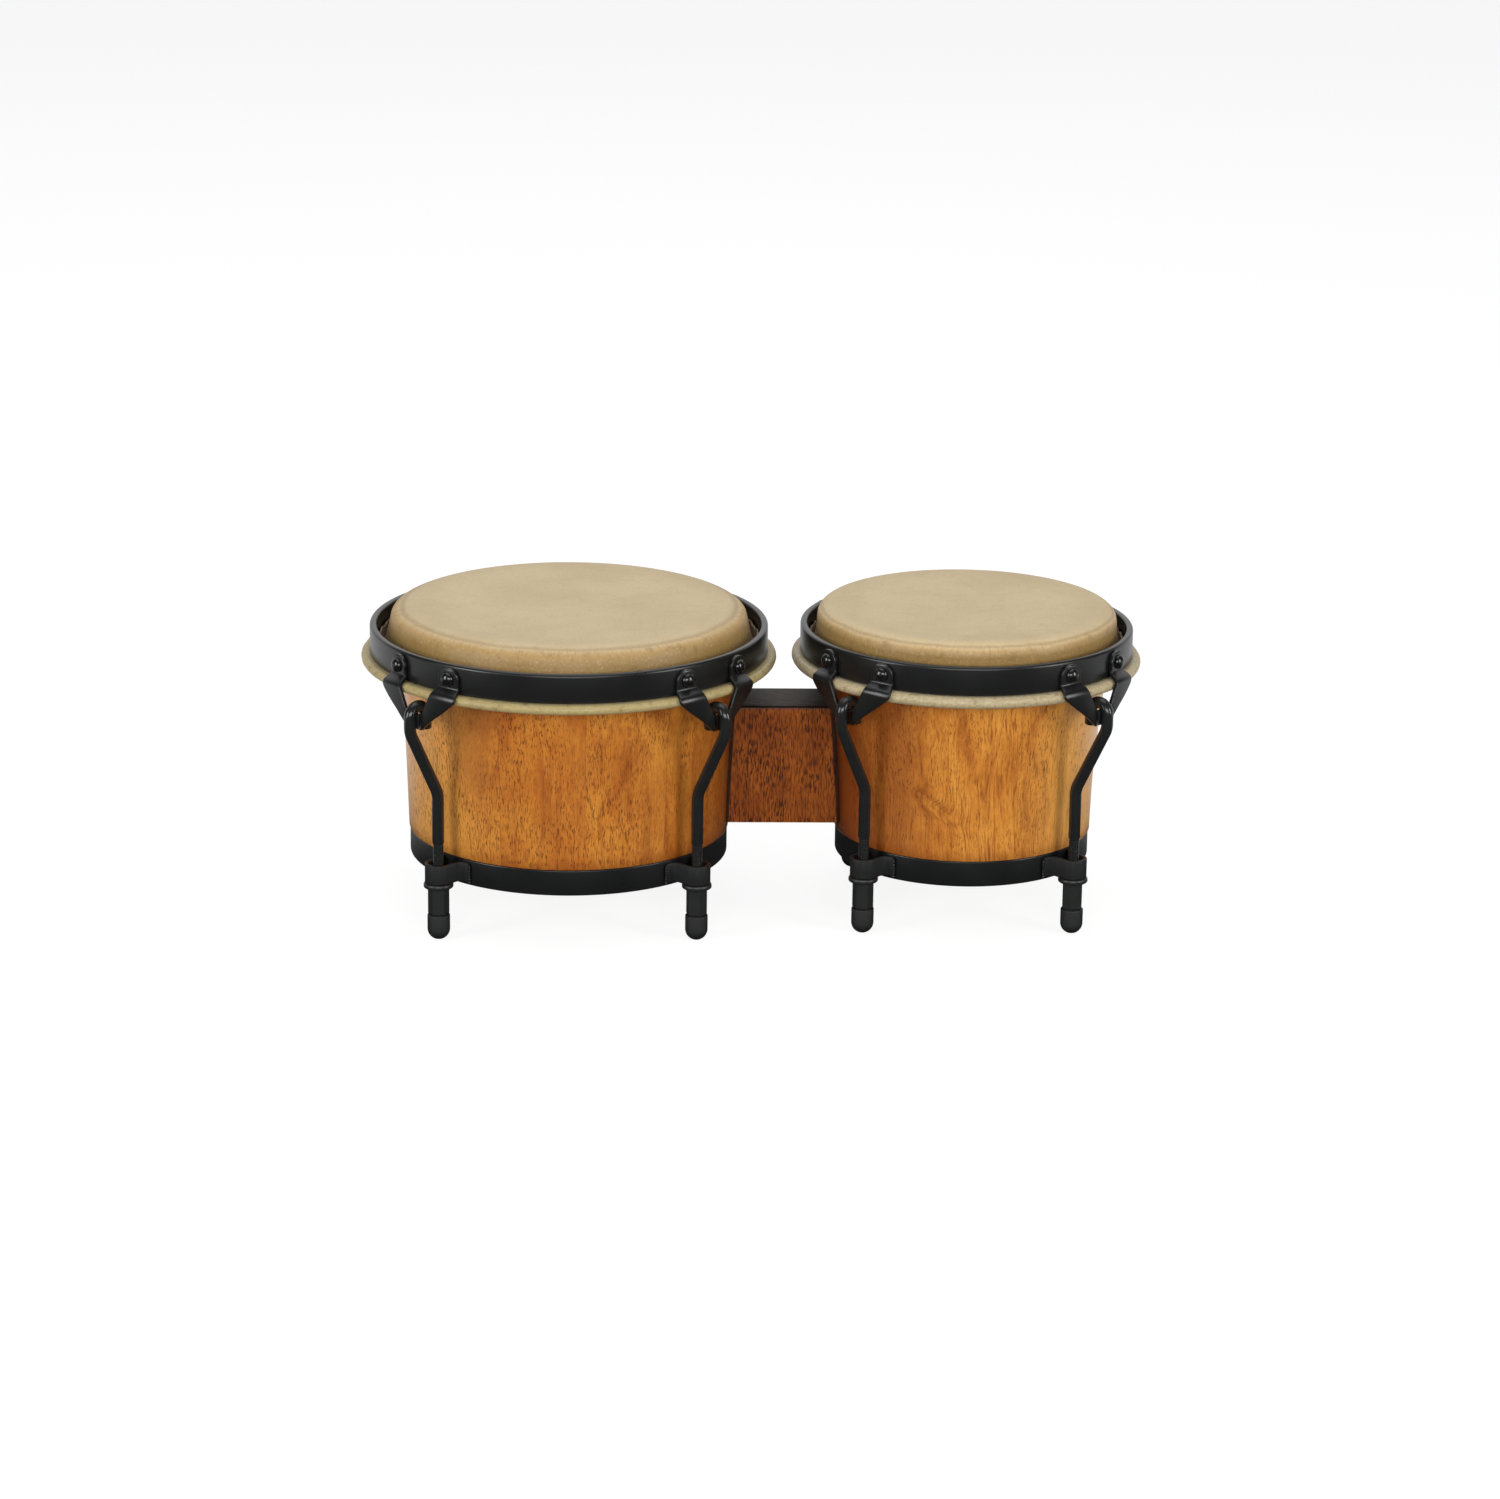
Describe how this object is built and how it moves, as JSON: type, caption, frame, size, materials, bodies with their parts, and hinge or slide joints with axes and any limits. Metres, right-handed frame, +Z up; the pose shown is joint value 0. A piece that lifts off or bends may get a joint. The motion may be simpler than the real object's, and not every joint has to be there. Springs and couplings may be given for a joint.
{
  "type": "bongo drums",
  "caption": "Pair of tunable wooden hand drums, one larger than the other, with hide heads, black steel hoops, hooked tuning rods on rubber tips and a wooden centre block between them.",
  "frame": {"origin": "middle of the overall width, on the plane through both drum axes, at the underside of the rubber tips", "axes": "+X from the large drum to the small drum, +Y to the back, +Z up"},
  "size_m": [0.4628, 0.246, 0.184],
  "materials": {
    "shell_wood": "clear satin lacquer over honey-stained open-pored hardwood staves",
    "block_wood": "satin lacquer over darker walnut-stained hardwood",
    "hide": "dry matt cream-tan animal skin, golden at the wrapped edge",
    "black_steel": "satin black powder coat",
    "rubber": "matt black rubber",
    "plated_steel": "zinc plated steel",
    "brass": "turned brass"
  },
  "bodies": {
    "root": {"shell_large": "shell_wood", "head_large": "hide", "bottom_ring_large": "black_steel", "block_washer_large_low": "plated_steel", "block_bolt_large_low": "plated_steel", "block_insert_large_low": "brass", "block_washer_large_high": "plated_steel", "block_bolt_large_high": "plated_steel", "block_insert_large_high": "brass", "shell_small": "shell_wood", "head_small": "hide", "bottom_ring_small": "black_steel", "block_washer_small_low": "plated_steel", "block_bolt_small_low": "plated_steel", "block_insert_small_low": "brass", "block_washer_small_high": "plated_steel", "block_bolt_small_high": "plated_steel", "block_insert_small_high": "brass", "centre_block": "block_wood"},
    "tension_large": {"rim_large": "black_steel", "flesh_hoop_large": "plated_steel", "ear_bracket_large_fl": "black_steel", "tuning_rod_large_fl": "black_steel", "ear_bracket_large_fr": "black_steel", "tuning_rod_large_fr": "black_steel", "ear_bracket_large_br": "black_steel", "tuning_rod_large_br": "black_steel", "ear_bracket_large_bl": "black_steel", "tuning_rod_large_bl": "black_steel"},
    "nut_large_fl": {"tuning_nut_large_fl": "black_steel", "rubber_tip_large_fl": "rubber"},
    "nut_large_fr": {"tuning_nut_large_fr": "black_steel", "rubber_tip_large_fr": "rubber"},
    "nut_large_br": {"tuning_nut_large_br": "black_steel", "rubber_tip_large_br": "rubber"},
    "nut_large_bl": {"tuning_nut_large_bl": "black_steel", "rubber_tip_large_bl": "rubber"},
    "tension_small": {"rim_small": "black_steel", "flesh_hoop_small": "plated_steel", "ear_bracket_small_fl": "black_steel", "tuning_rod_small_fl": "black_steel", "ear_bracket_small_fr": "black_steel", "tuning_rod_small_fr": "black_steel", "ear_bracket_small_br": "black_steel", "tuning_rod_small_br": "black_steel", "ear_bracket_small_bl": "black_steel", "tuning_rod_small_bl": "black_steel"},
    "nut_small_fl": {"tuning_nut_small_fl": "black_steel", "rubber_tip_small_fl": "rubber"},
    "nut_small_fr": {"tuning_nut_small_fr": "black_steel", "rubber_tip_small_fr": "rubber"},
    "nut_small_br": {"tuning_nut_small_br": "black_steel", "rubber_tip_small_br": "rubber"},
    "nut_small_bl": {"tuning_nut_small_bl": "black_steel", "rubber_tip_small_bl": "rubber"}
  },
  "joints": [
    {"name": "rim_draw_large", "type": "slide", "parent": "root", "child": "tension_large", "axis": [0, 0, -1], "range_m": [-0.002, 0.004], "deforming": ["head_large"]},
    {"name": "nut_turn_large_fl", "type": "hinge", "parent": "root", "child": "nut_large_fl", "pos_m": [-0.18409, -0.07566, 0.0306], "axis": [0, 0, 1], "range_deg": [-570, 1135]},
    {"name": "nut_turn_large_fr", "type": "hinge", "parent": "root", "child": "nut_large_fr", "pos_m": [-0.03277, -0.07566, 0.0306], "axis": [0, 0, 1], "range_deg": [-570, 1135]},
    {"name": "nut_turn_large_br", "type": "hinge", "parent": "root", "child": "nut_large_br", "pos_m": [-0.03277, 0.07566, 0.0306], "axis": [0, 0, 1], "range_deg": [-570, 1135]},
    {"name": "nut_turn_large_bl", "type": "hinge", "parent": "root", "child": "nut_large_bl", "pos_m": [-0.18409, 0.07566, 0.0306], "axis": [0, 0, 1], "range_deg": [-570, 1135]},
    {"name": "rim_draw_small", "type": "slide", "parent": "root", "child": "tension_small", "axis": [0, 0, -1], "range_m": [-0.002, 0.004], "deforming": ["head_small"]},
    {"name": "nut_turn_small_fl", "type": "hinge", "parent": "root", "child": "nut_small_fl", "pos_m": [0.06572, -0.06201, 0.0306], "axis": [0, 0, 1], "range_deg": [-570, 1135]},
    {"name": "nut_turn_small_fr", "type": "hinge", "parent": "root", "child": "nut_small_fr", "pos_m": [0.18974, -0.06201, 0.0306], "axis": [0, 0, 1], "range_deg": [-570, 1135]},
    {"name": "nut_turn_small_br", "type": "hinge", "parent": "root", "child": "nut_small_br", "pos_m": [0.18974, 0.06201, 0.0306], "axis": [0, 0, 1], "range_deg": [-570, 1135]},
    {"name": "nut_turn_small_bl", "type": "hinge", "parent": "root", "child": "nut_small_bl", "pos_m": [0.06572, 0.06201, 0.0306], "axis": [0, 0, 1], "range_deg": [-570, 1135]}
  ],
  "couplings": [
    {"joint": "nut_turn_large_fl", "follows": "rim_draw_large", "rad_per_m": 4947.4},
    {"joint": "nut_turn_large_fr", "follows": "rim_draw_large", "rad_per_m": 4947.4},
    {"joint": "nut_turn_large_br", "follows": "rim_draw_large", "rad_per_m": 4947.4},
    {"joint": "nut_turn_large_bl", "follows": "rim_draw_large", "rad_per_m": 4947.4},
    {"joint": "nut_turn_small_fl", "follows": "rim_draw_small", "rad_per_m": 4947.4},
    {"joint": "nut_turn_small_fr", "follows": "rim_draw_small", "rad_per_m": 4947.4},
    {"joint": "nut_turn_small_br", "follows": "rim_draw_small", "rad_per_m": 4947.4},
    {"joint": "nut_turn_small_bl", "follows": "rim_draw_small", "rad_per_m": 4947.4}
  ]
}
